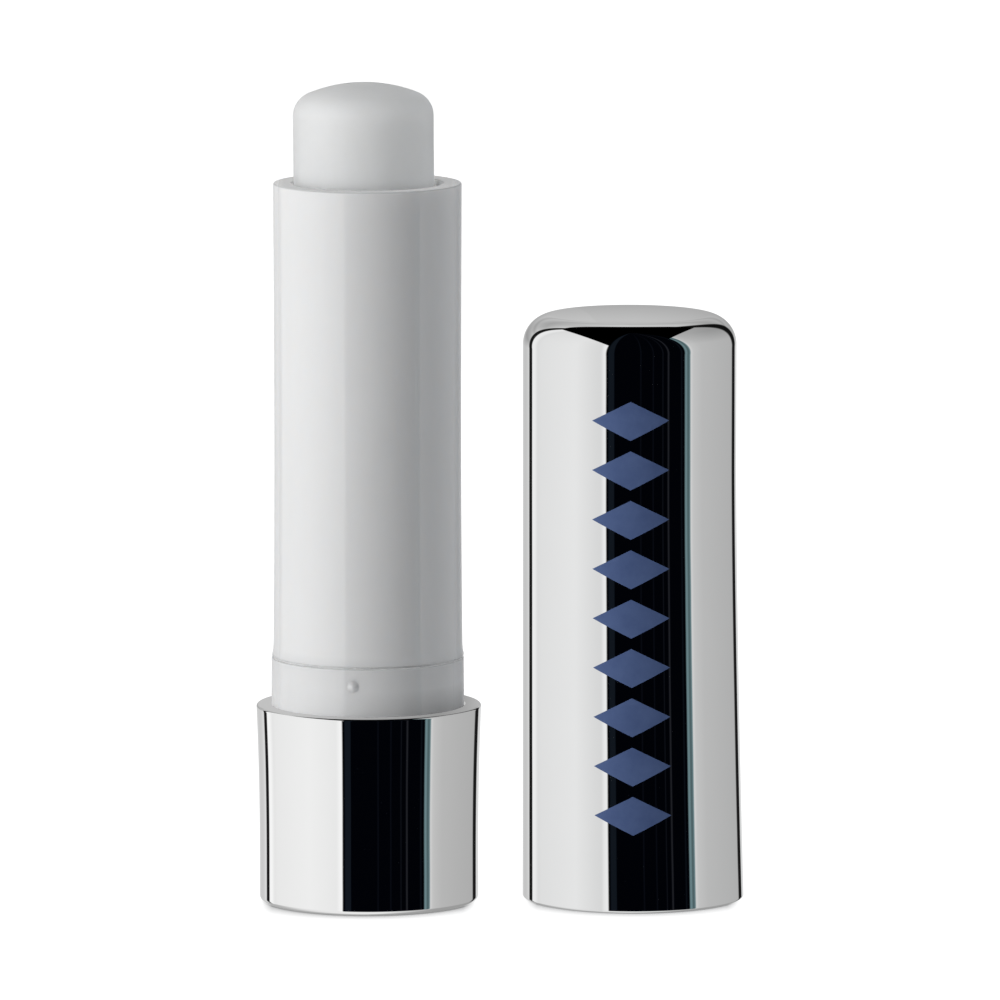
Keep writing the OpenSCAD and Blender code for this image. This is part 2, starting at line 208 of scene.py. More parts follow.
# Floor: its glow near the object and far off, the distances between which that changes, half the floor's
# width, and how far it lies under the foot
FLOOR_GLOW = 0.97
FLOOR_FAR = 1.06
FLOOR_FADE = (60, 220)
FLOOR_HALF = 1600
FLOOR_DROP = 0.02
# Painted contact shadow: its reach, the glow left by how open the floor is, and how far from an axis it ends
CREVICE = 4.5
CREVICE_GLOW = [(0.4, 0.2), (0.5, 0.36), (0.57, 0.5), (0.65, 0.66), (0.8, 0.87), (0.9, 1.0)]
CREVICE_SIDE = (8.3, 9.4)

# Studio walls seen in the mirrors: angle round from the front, then level or colour
TEAL = (0.15, 0.24, 0.26)
TEAL_DARK = (0.08, 0.13, 0.14)
WALLS = [
    (-180, 0.75), (-160, 0.60), (-150, 0.64), (-143.5, 0.74), (-141.5, 0.74), (-140.6, 0.01), (-133.4, 0.01),
    (-132.6, 0.96), (-127, 0.96), (-120, 0.82), (-114, 0.85), (-65, 0.9), (-47, 0.87), (-34, 0.845),
    (-29, 0.96), (-27.3, 0.96), (-26.9, 0.0), (61.5, 0.0), (61.8, TEAL), (63.8, TEAL), (64, TEAL_DARK),
    (66.5, TEAL_DARK), (67, TEAL), (68.1, TEAL), (68.4, 0.70), (72, 0.58), (84, 0.52), (108, 0.49),
    (142, 0.46), (144.5, 0.01), (155.5, 0.01), (157.5, 0.72),
]
# Dark front with faint reflectors: the middle, half the width and the colour of each
BLACK = (0.0, 0.0, 0.0)
DARK = (0.0005, 0.0008, 0.002)
PANEL = (0.0065, 0.0095, 0.0144)
REFLECTORS = [
    (10, 1, (0.004, 0.005, 0.008)), (23.5, 1, (0.004, 0.005, 0.008)), (34.5, 1, (0.006, 0.007, 0.01)),
    (41, 1.5, (0.019, 0.02, 0.025)), (57, 1.5, (0.0044, 0.006, 0.009)),
]
FRONT_SPAN = (-40, 80)
FRONT = [(-26.8, BLACK), (-25.5, (0.0005, 0.001, 0.002)), (-24, PANEL), (-19, PANEL), (-18, DARK)]
for middle, half, shade in REFLECTORS:
    FRONT += [(middle - half, DARK), (middle, shade), (middle + half, DARK)]
FRONT += [(61.5, DARK), (61.8, BLACK)]
# Floor in the mirrors, darker at the right, where the object's shadow falls, and the slopes between which it
# starts
FLOOR_SEEN = [
    (-180, 0.4), (-126, 0.5), (-80, 0.78), (-40, 0.86), (20, 0.84), (45, 0.64), (80, 0.37), (180, 0.35),
]
FLOOR_SLOPES = (-0.3, -0.4)
# Tops of the three walls: where each faces, and its height; and how sharply they end
WALL_TOPS = [(-89.4, 1.42), (95, 1.6), (180, 1.35)]
WALL_END = 60.0
# Back wall's level from its foot to its top, the slopes between which it changes, and where it starts
BACK_RISE = [
    (-0.13, 1.0), (0.03, 0.6), (0.12, 0.7), (0.2, 0.8), (0.27, 0.66), (0.34, 0.84), (0.5, 0.7), (0.72, 0.98),
]
BACK_SPAN = (-0.2, 0.8)
BACK_TURN = 142

# Mirror-bright shells. Painted shade and painted light in the metal's colour, which set how bright its
# reflections are, run from -1 at the left side to 1 at the right: first on the side, then on the top, where
# something else stands in the way of the light. The two heights are those between which the top starts.
BASE_METAL = (0.95, 0.952, 0.95)
BASE_PAINTED_SHADE = [(-1, 1.0), (0.5, 1.0), (0.6, 0.95), (1, 0.95)]
BASE_TOP_PAINTED_SHADE = [
    (-1, 1.04), (-0.6, 1.0), (-0.34, 0.8), (0, 0.44), (0.3, 0.34), (0.63, 0.2), (0.86, 0.44), (0.95, 0.66),
    (1, 0.8),
]
BASE_TOP = (base_h - 0.04, base_h - 0.03)
CAP_METAL = (0.885, 0.89, 0.89)
CAP_PAINTED_SHADE = [
    (-1, 0.97), (-0.5, 0.98), (-0.32, 0.91), (-0.27, 0.9), (-0.245, 0.97), (0.5, 1.0), (0.56, 1.04),
    (1, 1.04),
]
CAP_TOP_PAINTED_SHADE = [
    (-1, 0.96), (-0.3, 0.94), (0.05, 0.95), (0.3, 0.9), (0.55, 0.84), (0.72, 0.74), (0.86, 0.7), (1, 0.72),
]
CAP_TOP = (cap_h - 1.9, cap_h - 1.0)

# White plastic: where the flanks start and stop to lose their shine, and the painted shade and painted light
# of faces that look up, by the upward part of their normal
FLANK = (7.1, 7.7)
UPWARD_SHADE = [(0.04, 1.0), (0.2, 0.94), (0.5, 0.76), (0.85, 0.7), (0.95, 0.86), (1, 1.06)]
# Painted shade at the collar's foot from its left to its right, half the width of that, and how far up it
# reaches
FOOT_SHADE = [(0, 1.0), (0.14, 0.98), (0.3, 0.93), (0.5, 0.84), (0.67, 0.79), (0.87, 0.58), (1, 0.58)]
FOOT_HALF = 8.4
FOOT_REACH = 2.2


class Outline:
    """Outline of a turned piece. Each stretch keeps its own normals, so that reflections run true."""

    def __init__(self, r, z):
        self.end = (r, z)
        self.stretches = []

    def add(self, points, normals):
        self.stretches.append((points, normals))
        self.end = points[-1]
        return self

    def line(self, r, z, steps=1):
        """A straight stretch. Its outer face is on the right of the way it runs."""
        r0, z0 = self.end
        length = math.hypot(r - r0, z - z0)
        normal = ((z - z0) / length, (r0 - r) / length)
        points = [(r0 + (r - r0) * i / steps, z0 + (z - z0) * i / steps) for i in range(steps + 1)]
        return self.add(points, [normal] * (steps + 1))

    def arc(self, centre_r, centre_z, radius, first, last, steps=12):
        """An arc from angle first to angle last. It looks away from its centre if it runs anticlockwise."""
        angles = [math.radians(first + (last - first) * i / steps) for i in range(steps + 1)]
        points = [(centre_r + radius * math.cos(a), centre_z + radius * math.sin(a)) for a in angles]
        out = 1 if last > first else -1
        return self.add(points, [(out * math.cos(a), out * math.sin(a)) for a in angles])

    def curve(self, place, z_end, steps=40):
        """A side that follows the radius place(z) up to z_end."""
        z_start = self.end[1]
        heights = [z_start + (z_end - z_start) * i / steps for i in range(steps + 1)]
        step = 0.001
        normals = []
        for z in heights:
            slope = (place(z + step) - place(z - step)) / (2 * step)
            length = math.hypot(1, slope)
            normals.append((1 / length, -slope / length))
        return self.add([(place(z), z) for z in heights], normals)


def turned(name, outline, axis, tilt=None, shape=None, drift=None, exact=True, normal_turn=None):
    """Turns an outline round a vertical axis into one closed mesh.

    shape(r, z, turn) may change a radius, and exact keeps the outline's own normals. tilt is a matrix and its
    pivot. drift(z) moves the axis to the right with height. normal_turn(turn) turns the normals round.
    """
    vertices, faces, normals, index = [], [], [], {}

    def vertex(point, i):
        r, z = point
        key = (round(r, 6), round(z, 6), 0 if r < 1e-6 else i % SEGMENTS)
        if key not in index:
            turn = 2 * math.pi * (i % SEGMENTS) / SEGMENTS
            if shape:
                r = shape(r, z, turn)
            index[key] = len(vertices)
            vertices.append((axis.x + r * math.sin(turn), axis.y - r * math.cos(turn), axis.z + z))
        return index[key]

    def normal(n, i):
        turn = 2 * math.pi * i / SEGMENTS
        turn += normal_turn(turn) if normal_turn else 0
        return (n[0] * math.sin(turn), -n[0] * math.cos(turn), n[1])

    for points, lean in outline.stretches:
        for k in range(len(points) - 1):
            for i in range(SEGMENTS):
                corners = [(points[k], lean[k], i), (points[k], lean[k], i + 1),
                           (points[k + 1], lean[k + 1], i + 1), (points[k + 1], lean[k + 1], i)]
                face, face_normals = [], []
                for point, n, j in corners:
                    v = vertex(point, j)
                    if v not in face:
                        face.append(v)
                        face_normals.append(normal(n, j))
                if len(face) > 2:
                    faces.append(face)
                    normals += face_normals
    if drift:
        step = 0.01
        heights = [vertices[v][2] for face in faces for v in face]
        slopes = [(drift(z + step) - drift(z - step)) / (2 * step) for z in heights]
        vertices = [(x + drift(z), y, z) for x, y, z in vertices]
        leaned = [Vector((x, y, z - x * slope)) for (x, y, z), slope in zip(normals, slopes)]
        normals = [n.normalized()[:] for n in leaned]
    if tilt:
        matrix, pivot = tilt
        vertices = [tuple(matrix @ (Vector(v) - pivot) + pivot) for v in vertices]
        normals = [tuple(matrix @ Vector(n)) for n in normals]
    mesh = bpy.data.meshes.new(name)
    mesh.from_pydata([tuple(c * MM for c in v) for v in vertices], [], faces)
    mesh.update()
    mesh.shade_smooth()
    if exact:
        mesh.normals_split_custom_set(normals)
    else:
        mesh.set_sharp_from_angle(angle=math.radians(SHARP_ANGLE))
    return link(name, mesh)


def link(name, mesh):
    piece = bpy.data.objects.new(name, mesh)
    bpy.context.scene.collection.objects.link(piece)
    return piece


def grid_faces(rows, start=0):
    """Faces of a square grid of vertices, rows faces wide, from vertex start on."""
    corners = [start + i * (rows + 1) + j for i in range(rows) for j in range(rows)]
    return [(a, a + 1, a + rows + 2, a + rows + 1) for a in corners]


def smooth_step(t):
    return t * t * (3 - 2 * t)


def near_turn(turn, middle, half):
    """1 at the angle middle, and smoothly down to 0 at half on both sides. turn is in radians."""
    return smooth_step(max(0, 1 - abs(math.degrees(turn) - middle) / half))


def dome(outline, side_r, top_z, rise, edge_r):
    """A rounded shoulder and a spherical crown, from the outline's end in to the axis."""
    ball_r = (side_r ** 2 + rise ** 2) / (2 * rise)
    ball_z = top_z - ball_r
    edge_z = ball_z + math.sqrt((ball_r - edge_r) ** 2 - (side_r - edge_r) ** 2)
    touch = math.degrees(math.atan2(edge_z - ball_z, side_r - edge_r))
    outline.line(side_r, edge_z, steps=4)
    outline.arc(side_r - edge_r, edge_z, edge_r, 0, touch, steps=28)
    return outline.arc(0, ball_z, ball_r, touch, 90, steps=24)


# Turned pieces

def make_base():
    def flare(z):
        t = max(0, (z - base_straight_h) / (base_h - base_straight_h))
        return base_foot_r + (base_rim_r - base_foot_r) * t ** base_flare_power

    o = Outline(0, 0)
    o.line(base_foot_r - base_edge_r, 0)
    o.arc(base_foot_r - base_edge_r, base_edge_r, base_edge_r, -90, 0)
    o.line(base_foot_r, base_straight_h, steps=4)
    o.curve(flare, base_h - base_lip_r)
    o.arc(o.end[0] - base_lip_r, base_h - base_lip_r, base_lip_r, 0, 90)
    o.line(base_bore_r, base_h, steps=2)
    o.line(base_bore_r, base_floor, steps=4)
    o.line(0, base_floor)

    def uneven_side(turn):
        """The shell is a little flat on its left, which moves the reflections there inwards."""
        return math.radians(base_normal_turn) * near_turn(turn, base_flat_turn, base_flat_half)

    return turned("base_mirror_shell", o, base_axis, normal_turn=uneven_side)


def make_collar():
    foot_z, relief_z = base_floor + core_foot_gap, base_h - core_relief_drop
    hollow_z = core_web_z - core_web
    skirt_r = collar_foot_r - core_relief
    o = Outline(0, foot_z)
    o.line(socket_outer_r, foot_z)
    o.line(socket_outer_r, hollow_z)
    o.line(core_bore_r, hollow_z)
    o.line(core_bore_r, foot_z)
    o.line(skirt_r, foot_z)
    o.line(skirt_r, relief_z, steps=2)
    o.line(collar_foot_r, relief_z + core_relief)
    o.line(collar_foot_r, base_h, steps=2)
    o.line(collar_top_r, seam_z - collar_edge_r, steps=4)
    o.arc(collar_top_r - collar_edge_r, seam_z - collar_edge_r, collar_edge_r, 0, 90, steps=6)
    o.line(core_bore_r, seam_z)
    # bearing for the neck, with the groove for its bead, and the screw's socket
    groove_low, groove_high = bead_z - groove_play, bead_z + bead_h + groove_play
    o.line(core_bore_r, groove_high, steps=2)
    o.line(core_bore_r + bead_rise, groove_high)
    o.line(core_bore_r + bead_rise, groove_low)
    o.line(core_bore_r, groove_low)
    o.line(core_bore_r, core_web_z)
    o.line(socket_r, core_web_z)
    o.line(socket_r, socket_z)
    o.line(0, socket_z)
    return turned("collar_core", o, stick_axis)


def make_bump(number):
    """A low soft dome on the collar, with a small fillet round its foot."""
    turn = math.radians(-bump_turn + number * 360 / bump_count)
    rings, spokes = 14, 48
    wall_r = collar_top_r + (collar_foot_r - collar_top_r) * (seam_z - bump_z) / (seam_z - base_h)
    vertices, faces = [], []
    for k in range(rings + 1):
        reach = bump_foot_r * k / rings
        near = min(1, reach / bump_r)
        rise = bump_rise * (1 - smooth_step(near)) * (1 - bump_sag * near)
        rise -= bump_sink * smooth_step(k / rings)
        for j in range(spokes):
            around = 2 * math.pi * j / spokes
            angle = turn + reach * math.cos(around) / wall_r
            r = wall_r + rise
            z = bump_z + reach * math.sin(around)
            vertices.append((r * math.sin(angle) * MM, -r * math.cos(angle) * MM, z * MM))
    for k in range(rings):
        for j in range(spokes):
            a, b = k * spokes + j, k * spokes + (j + 1) % spokes
            faces.append((a, a + spokes, b + spokes, b))
    mesh = bpy.data.meshes.new("collar_bump")
    mesh.from_pydata(vertices, [], faces)
    made = bmesh.new()
    made.from_mesh(mesh)
    bmesh.ops.remove_doubles(made, verts=made.verts, dist=1e-8)
    bmesh.ops.recalc_face_normals(made, faces=made.faces)
    made.to_mesh(mesh)
    made.free()
    mesh.shade_smooth()
    return link(f"collar_bump_{number + 1}", mesh)


def make_barrel():
    top_z = rim_z - barrel_edge_r
    foot_z = barrel_z + barrel_flare_h

    def side(z):
        if z >= barrel_waist_z:
            t = (z - barrel_waist_z) / (rim_z - barrel_waist_z)
            return barrel_waist_r + (barrel_rim_r - barrel_waist_r) * t ** barrel_side_power
        t = (barrel_waist_z - z) / (barrel_waist_z - foot_z)
        flare = max(0, (foot_z - z) / barrel_flare_h) ** barrel_flare_power
        low_r = barrel_waist_r + (barrel_foot_r - barrel_waist_r) * min(t, 1) ** barrel_side_power
        return low_r + (barrel_flare_r - barrel_foot_r) * flare

    def grooved(r, z, turn):
        """Lets the two guide grooves into the bore, on its left and right."""
        in_bore = r < barrel_bore_r + guide_step and z < guide_stop_z - guide_step / 2
        in_groove = in_bore and r * abs(math.cos(turn)) < guide_w / 2
        return r + guide_depth if in_groove else r

    o = Outline(barrel_bore_r, barrel_neck_z)
    o.line(barrel_neck_r, barrel_neck_z)
    o.line(barrel_neck_r, bead_z)
    o.line(barrel_neck_r + bead_rise, bead_z + bead_h / 2)
    o.line(barrel_neck_r + bead_rise, bead_z + bead_h)
    o.line(barrel_neck_r, bead_z + bead_h)
    o.line(barrel_neck_r, seam_z + seam_floor_gap, steps=2)
    # shallow register that fills the seam behind its edges
    o.line(seam_floor_r, seam_z + seam_floor_gap)
    o.line(seam_floor_r, barrel_z)
    o.line(side(barrel_z) - barrel_lip_r, barrel_z)
    o.arc(side(barrel_z) - barrel_lip_r, barrel_z + barrel_lip_r, barrel_lip_r, -90, 0, steps=8)
    o.curve(side, top_z, steps=90)
    o.arc(o.end[0] - barrel_edge_r, top_z, barrel_edge_r, 0, 90, steps=16)
    edge_r = barrel_bore_r + barrel_inner_edge_r
    o.line(edge_r, rim_z, steps=2)
    o.arc(edge_r, rim_z - barrel_inner_edge_r, barrel_inner_edge_r, 90, 180, steps=6)
    o.line(barrel_bore_r, guide_stop_z, steps=2)
    # a short step, in which the guide grooves end
    o.line(barrel_bore_r, guide_stop_z - guide_step)
    o.line(barrel_bore_r, barrel_neck_z, steps=12)
    return turned("barrel_tube", o, barrel_axis, shape=grooved)


def uneven(r, z, turn):
    """The poured and wiped balm's surface isn't quite round."""
    if r < balm_wave_start_r:
        return r
    place = Vector((balm_wave_round * math.sin(turn), balm_wave_round * math.cos(turn), z * balm_wave_up))
    return r + sum(height * noise.noise(place * fineness) for height, fineness in (balm_waves, balm_ripples))


def make_balm():
    lean = Matrix.Rotation(math.radians(-balm_lean), 3, "Y")
    pivot = Vector((0, 0, balm_seat_z))
    o = Outline(balm_hole_r, balm_foot_z)
    o.line(balm_plug_r, balm_foot_z)
    o.line(balm_plug_r, balm_step_z)
    o.line(balm_r, balm_step_z)
    # fine rows for the unevenness, up to a little under the barrel's mouth
    o.line(balm_r, rim_z - balm_side_drop, steps=60)
    dome(o, balm_r, crown_z, balm_dome, balm_shoulder_r)
    o.end = (0, balm_hole_top)
    # the hole widens upwards, because the stick leans and the screw doesn't
    o.line(balm_hole_top_r, balm_hole_top)
    o.line(balm_hole_r, balm_foot_z, steps=4)
    return turned("balm_stick", o, barrel_axis, tilt=(lean, pivot), shape=uneven, exact=False)


def cap_side(z):
    """Radius of the cap's side, which narrows from its mouth up."""
    t = max(0, 1 - z / cap_taper_h)
    return cap_top_r + (cap_mouth_r - cap_top_r) * t ** cap_taper_power


def cap_drift(z):
    """The cap's left side stands straight, and its whole taper is on the right."""
    return cap_drift_x + cap_side(max(z, 0)) - cap_top_r


def make_cap():
    o = Outline(cap_bore_r + cap_lead_in, 0)
    o.line(cap_mouth_r - cap_edge_r, 0)
    o.arc(cap_mouth_r - cap_edge_r, cap_edge_r, cap_edge_r, -90, 0)
    o.end = (cap_side(cap_edge_r), cap_edge_r)
    o.curve(cap_side, cap_taper_h, steps=80)
    dome(o, cap_top_r, cap_h, cap_dome, cap_shoulder_r)
    # inside: crown, fillet, taper, collar socket with its snap groove, and lead-in
    o.end = (0, cap_inner_h)
    crown_r = cap_inner_top_r - cap_inner_shoulder_r
    o.line(crown_r, cap_inner_h)
    o.arc(crown_r, cap_inner_h - cap_inner_shoulder_r, cap_inner_shoulder_r, 90, 0)
    o.line(cap_inner_top_r, cap_taper_h, steps=3)
    o.line(cap_bore_r, cap_socket_h, steps=8)
    o.line(cap_bore_r, snap_z + snap_h / 2)
    o.line(cap_bore_r + snap_depth, snap_z + snap_h / 4)
    o.line(cap_bore_r + snap_depth, snap_z - snap_h / 4)
    o.line(cap_bore_r, snap_z - snap_h / 2)
    o.line(cap_bore_r, cap_lead_in)
    o.line(cap_bore_r + cap_lead_in, 0)

    def uneven_side(turn):
        """The shell isn't quite round, which moves the reflections."""
        right = near_turn(turn, cap_right_turn, cap_right_half)
        return math.radians(cap_normal_turn + (cap_normal_turn_right - cap_normal_turn) * right)

    return turned("cap_mirror_shell", o, cap_axis, drift=cap_drift, normal_turn=uneven_side)


def make_print():
    """A plain column of lozenges on the front of the cap, in place of what was printed there."""
    vertices, faces = [], []
    rows = 12
    for n in range(print_count):
        z_mid = print_low_z + (print_high_z - print_low_z) * n / (print_count - 1)
        start = len(vertices)
        for i in range(rows + 1):
            for j in range(rows + 1):
                u, v = 2 * i / rows - 1, 2 * j / rows - 1
                # a square grid turned on its corner
                across, up = (u + v) / 2, (v - u) / 2
                z = z_mid + up * print_half_h
                r = cap_side(z) + print_lift
                turn = across * print_half_w / r
                x = cap_axis.x + cap_drift(z) + r * math.sin(turn)
                vertices.append((x * MM, (cap_axis.y - r * math.cos(turn)) * MM, z * MM))
        faces += grid_faces(rows, start)
    mesh = bpy.data.meshes.new("cap_print")
    mesh.from_pydata(vertices, [], faces)
    mesh.update()
    mesh.shade_smooth()
    return link("cap_print", mesh)


# Node helpers

def node(tree, kind, values=None, **settings):
    """Adds a node. values maps a socket's name or number to a value or to another node's output."""
    made = tree.nodes.new(kind)
    for key, value in settings.items():
        setattr(made, key, value)
    for key, value in (values or {}).items():
        if isinstance(value, bpy.types.NodeSocket):
            tree.links.new(value, made.inputs[key])
        else:
            made.inputs[key].default_value = value
    return made


def calc(tree, operation, *values, clamp=False):
    """Result of a sum on numbers and other nodes' outputs."""
    made = node(tree, "ShaderNodeMath", dict(enumerate(values)), operation=operation, use_clamp=clamp)
    return made.outputs[0]


def ramp(tree, value, stops):
    """Colour ramp; each stop is a position and a grey level or a colour."""
    made = node(tree, "ShaderNodeValToRGB", {0: value})
    elements = made.color_ramp.elements
    for k, (position, shade) in enumerate(stops):
        element = elements[k] if k < 2 else elements.new(position)
        element.position = position
        colour = shade if isinstance(shade, tuple) else (shade,) * 3
        element.color = (*colour, 1)
    return made.outputs[0]


def mix(tree, factor, a, b):
    """Colour a where factor is 0 and b where it is 1."""
    made = node(tree, "ShaderNodeMix", data_type="RGBA")
    for socket, value in ((made.inputs[0], factor), (made.inputs[6], a), (made.inputs[7], b)):
        if isinstance(value, bpy.types.NodeSocket):
            tree.links.new(value, socket)
        elif isinstance(value, tuple):
            socket.default_value = (*value, 1)
        else:
            socket.default_value = value
    return made.outputs[2]


def blend_colours(tree, kind, a, b):
    made = node(tree, "ShaderNodeMix", data_type="RGBA", blend_type=kind)
    made.inputs[0].default_value = 1
    tree.links.new(a, made.inputs[6])
    tree.links.new(b, made.inputs[7])
    return made.outputs[2]


def multiply(tree, a, b):
    return blend_colours(tree, "MULTIPLY", a, b)


def add(tree, a, b):
    return blend_colours(tree, "ADD", a, b)


def own_place(tree):
    """Place in the piece's own coordinates, in metres."""
    return node(tree, "ShaderNodeTexCoord").outputs["Object"]


def xyz(tree, vector):
    """The x, y and z of a vector."""
    return node(tree, "ShaderNodeSeparateXYZ", {0: vector}).outputs


def noise_value(tree, scale, detail=2.0, roughness=0.5, stretch=None):
    """Noise in the piece's own coordinates; scale is in waves for each metre."""
    place = own_place(tree)
    if stretch:
        place = node(tree, "ShaderNodeMapping", {"Vector": place, "Scale": stretch}).outputs[0]
    values = {"Vector": place, "Scale": scale, "Detail": detail, "Roughness": roughness}
    return node(tree, "ShaderNodeTexNoise", values).outputs[0]


def level(tree, value, low, high, to_low=0, to_high=1):
    """Maps low to to_low and high to to_high, and stays there beyond them."""
    made = node(tree, "ShaderNodeMapRange", {0: value, 1: low, 2: high, 3: to_low, 4: to_high})
    return made.outputs[0]


def bump(tree, height, distance, normal=None):
    """Relief from a height between 0 and 1; distance is in metres."""
    values = {"Height": height, "Distance": distance, "Strength": 1.0}
    if normal:
        values["Normal"] = normal
    return node(tree, "ShaderNodeBump", values).outputs[0]


def material(name):
    made = bpy.data.materials.new(name)
    made.use_nodes = True
    made.node_tree.nodes.clear()
    return made, made.node_tree


def finish_material(tree, values):
    """Ends a material with a Principled shader that has these values."""
    shader = node(tree, "ShaderNodeBsdfPrincipled", values)
    node(tree, "ShaderNodeOutputMaterial", {"Surface": shader.outputs[0]})


# Materials

def mottled(tree, mottle, low, high, colour):
    """The colour, and where the mottling is high, the same a trace darker."""
    return mix(tree, level(tree, mottle, low, high), colour, tuple(c * 0.985 for c in colour))


def mirror_material(name, colour, middle, radius, side_shade, top_shade, top):
    """Vacuum-metallised plastic: a mirror with slight waves of the moulding, faint haze and fine hairlines.

    side_shade is the painted shade and painted light in the metal's colour across the piece, from -1 at its
    left side to 1 at its right, and top_shade the same on its top. top is the two heights between which the
    top starts.
    """
    def across_piece(stops):
        return ramp(tree, across, [((a + 1) / 2, b) for a, b in stops])

    made, tree = material(name)
    place = xyz(tree, own_place(tree))
    across = level(tree, place[0], (middle - radius) * MM, (middle + radius) * MM)
    at_top = level(tree, place[2], top[0] * MM, top[1] * MM)
    # painted shade and painted light across the piece, on its side and on its top
    strength = mix(tree, at_top, across_piece(side_shade), across_piece(top_shade))
    haze = noise_value(tree, 90, detail=4, roughness=0.6)
    hairlines = noise_value(tree, 260, detail=2, stretch=(1, 1, 14))
    haze_rough = level(tree, haze, 0.35, 0.75, 0.012, 0.035)
    rough = calc(tree, "ADD", haze_rough, level(tree, hairlines, 0.62, 0.8, 0, 0.03))
    tint = multiply(tree, mottled(tree, haze, 0.3, 0.7, colour), strength)
    waves = bump(tree, noise_value(tree, 150, detail=1), 0.00001)
    finish_material(tree, {"Base Color": tint, "Metallic": 1.0, "Roughness": rough, "Normal": waves})
    return made


def plastic_material(name, colour, rough, peel, foot_z=None):
    """Moulded plastic: slight mottling, orange peel and flow marks along the pull of the mould.

    peel is the height of the orange peel, in metres. With foot_z, the piece gets a painted shade from that
    height up, where the mirror-bright ring that it stands in would shade it.
    """
    made, tree = material(name)
    mottle = noise_value(tree, 60, detail=3)
    flow = noise_value(tree, 240, detail=3, stretch=(1, 1, 0.06))
    tint = mottled(tree, mottle, 0.35, 0.7, colour)
    mottle_rough = level(tree, mottle, 0.3, 0.7, rough, rough * 1.25)
    flow_rough = level(tree, flow, 0.5, 0.75, 0, rough * 0.2)
    relief = bump(tree, noise_value(tree, 900, detail=2), peel)
    relief = bump(tree, flow, peel * 0.5, normal=relief)
    # the outermost sides shine less
    place = xyz(tree, own_place(tree))
    flank = calc(tree, "ABSOLUTE", place[0])
    shine = level(tree, flank, FLANK[0] * MM, FLANK[1] * MM, 0.5, 0.2)
    flank_rough = level(tree, flank, FLANK[0] * MM, FLANK[1] * MM, 0, 0.25)
    roughness = calc(tree, "ADD", calc(tree, "ADD", mottle_rough, flow_rough), flank_rough)
    # painted shade on a rounded upper edge, and painted light on the level face inside it
    upward = xyz(tree, node(tree, "ShaderNodeNewGeometry").outputs["Normal"])[2]
    tint = multiply(tree, tint, ramp(tree, upward, UPWARD_SHADE))
    # painted shade at the foot, darker towards the right
    if foot_z is not None:
        across = level(tree, place[0], -FOOT_HALF * MM, FOOT_HALF * MM)
        above = level(tree, place[2], foot_z * MM, (foot_z + FOOT_REACH) * MM)
        tint = multiply(tree, tint, mix(tree, above, ramp(tree, across, FOOT_SHADE), (1, 1, 1)))
    finish_material(tree, {
        "Base Color": tint, "Roughness": roughness, "Normal": relief, "IOR": 1.63,
        "Specular IOR Level": shine,
        "Subsurface Weight": 0.6, "Subsurface Radius": (1.0, 0.95, 0.9), "Subsurface Scale": 0.0012})
    return made


def wax_material():
    """Balm: translucent wax, slightly mottled, with soft waves and pinpricks from pouring and use."""
    made, tree = material("balm_wax")
    mottle = noise_value(tree, 170, detail=4, roughness=0.6)
    tint = mix(tree, level(tree, mottle, 0.35, 0.7), (0.785, 0.79, 0.784), (0.76, 0.765, 0.756))
    rough = level(tree, mottle, 0.3, 0.7, 0.36, 0.48)
    relief = bump(tree, noise_value(tree, 260, detail=3, roughness=0.55), 0.00006)
    relief = bump(tree, noise_value(tree, 1500, detail=2), 0.000008, normal=relief)
    finish_material(tree, {
        "Base Color": tint, "Roughness": rough, "Normal": relief, "IOR": 1.44,
        "Subsurface Weight": 1.0, "Subsurface Radius": (1.0, 0.97, 0.93), "Subsurface Scale": 0.008})
    return made


def ink_material():
    """Satin ink, a little uneven where it was laid down."""
    made, tree = material("print_ink")
    patches = noise_value(tree, 700, detail=4, roughness=0.6)
    tint = mix(tree, level(tree, patches, 0.3, 0.7), (0.078, 0.125, 0.285), (0.095, 0.148, 0.32))
    rough = level(tree, patches, 0.3, 0.7, 0.4, 0.55)
    relief = bump(tree, patches, 0.000006)
    finish_material(tree, {"Base Color": tint, "Roughness": rough, "Normal": relief, "IOR": 1.48})
    return made


# Studio and lamps

def studio(tree, x, y, z):
    """Colour of the studio in a direction: pale walls at the sides and back, dark front, gaps and ceiling."""
    def spread(value, levels, low, high):
        """Ramp of levels that stand at values between low and high."""
        return ramp(tree, level(tree, value, low, high), [((a - low) / (high - low), b) for a, b in levels])

    angle = calc(tree, "ARCTAN2", x, calc(tree, "MULTIPLY", y, -1.0))
    azimuth = calc(tree, "MULTIPLY", angle, 180 / math.pi)
    walls = spread(azimuth, WALLS, -180, 180)
    front = spread(azimuth, FRONT, *FRONT_SPAN)

    # top edges: each wall ends at a height, so its edge seen from the middle drops towards its sides
    tops = []
    for facing, height in WALL_TOPS:
        along_x = calc(tree, "MULTIPLY", x, height * math.sin(math.radians(facing)))
        along_y = calc(tree, "MULTIPLY", y, -height * math.cos(math.radians(facing)))
        tops.append(calc(tree, "ADD", along_x, along_y))
    top = calc(tree, "MAXIMUM", calc(tree, "MAXIMUM", tops[0], tops[1]), tops[2])
    under = calc(tree, "MULTIPLY", calc(tree, "SUBTRACT", top, z), WALL_END, clamp=True)

    # the back wall is unevenly lit from its foot to its top
    at_back = calc(tree, "GREATER_THAN", calc(tree, "ABSOLUTE", azimuth), BACK_TURN)
    rise = mix(tree, at_back, (1, 1, 1), spread(z, BACK_RISE, *BACK_SPAN))
    lit = multiply(tree, multiply(tree, walls, rise), under)
    floor = spread(azimuth, FLOOR_SEEN, -180, 180)
    return mix(tree, level(tree, z, *FLOOR_SLOPES), add(tree, lit, front), floor)


